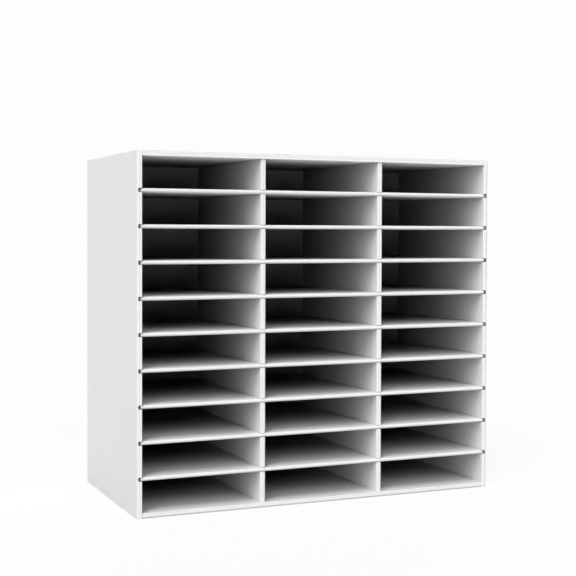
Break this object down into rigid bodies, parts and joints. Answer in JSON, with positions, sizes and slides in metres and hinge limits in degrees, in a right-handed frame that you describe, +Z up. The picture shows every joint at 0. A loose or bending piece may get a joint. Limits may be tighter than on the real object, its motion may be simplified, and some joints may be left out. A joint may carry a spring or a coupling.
{
  "type": "mail organizer",
  "caption": "Free-standing pigeonhole mail organizer of folded corrugated board: stacked open-front slots in side-by-side columns, closed back, slide-in shelves.",
  "frame": {"origin": "on the floor under the middle of the case's footprint", "axes": "+Z up, -Y out of the open front of the slots, +X to the right of someone who stands in front"},
  "size_m": [0.735, 0.35, 0.66],
  "materials": {
    "white_board": "white coated liner, matte",
    "core_board": "uncoated corrugated ply",
    "back_board": "white coated liner, matte",
    "divider_board": "white coated liner, matte",
    "shelf_board": "white coated liner, matte"
  },
  "bodies": {
    "case": {"left_side_panel": "white_board", "left_side_core": "core_board", "right_side_panel": "white_board", "right_side_core": "core_board", "top_panel": "white_board", "top_core": "core_board", "bottom_panel": "white_board", "bottom_core": "core_board", "back_panel": "back_board", "divider_1": "divider_board", "divider_1_core": "core_board", "divider_2": "divider_board", "divider_2_core": "core_board"},
    "shelf_1_body": {"shelf_1": "shelf_board"},
    "shelf_2_body": {"shelf_2": "shelf_board"},
    "shelf_3_body": {"shelf_3": "shelf_board"},
    "shelf_4_body": {"shelf_4": "shelf_board"},
    "shelf_5_body": {"shelf_5": "shelf_board"},
    "shelf_6_body": {"shelf_6": "shelf_board"},
    "shelf_7_body": {"shelf_7": "shelf_board"},
    "shelf_8_body": {"shelf_8": "shelf_board"},
    "shelf_9_body": {"shelf_9": "shelf_board"}
  },
  "joints": [
    {"name": "shelf_1_slide", "type": "slide", "parent": "case", "child": "shelf_1_body", "axis": [0, -1, 0], "range_m": [0, 0.165]},
    {"name": "shelf_2_slide", "type": "slide", "parent": "case", "child": "shelf_2_body", "axis": [0, -1, 0], "range_m": [0, 0.165]},
    {"name": "shelf_3_slide", "type": "slide", "parent": "case", "child": "shelf_3_body", "axis": [0, -1, 0], "range_m": [0, 0.165]},
    {"name": "shelf_4_slide", "type": "slide", "parent": "case", "child": "shelf_4_body", "axis": [0, -1, 0], "range_m": [0, 0.165]},
    {"name": "shelf_5_slide", "type": "slide", "parent": "case", "child": "shelf_5_body", "axis": [0, -1, 0], "range_m": [0, 0.165]},
    {"name": "shelf_6_slide", "type": "slide", "parent": "case", "child": "shelf_6_body", "axis": [0, -1, 0], "range_m": [0, 0.165]},
    {"name": "shelf_7_slide", "type": "slide", "parent": "case", "child": "shelf_7_body", "axis": [0, -1, 0], "range_m": [0, 0.165]},
    {"name": "shelf_8_slide", "type": "slide", "parent": "case", "child": "shelf_8_body", "axis": [0, -1, 0], "range_m": [0, 0.165]},
    {"name": "shelf_9_slide", "type": "slide", "parent": "case", "child": "shelf_9_body", "axis": [0, -1, 0], "range_m": [0, 0.165]}
  ]
}
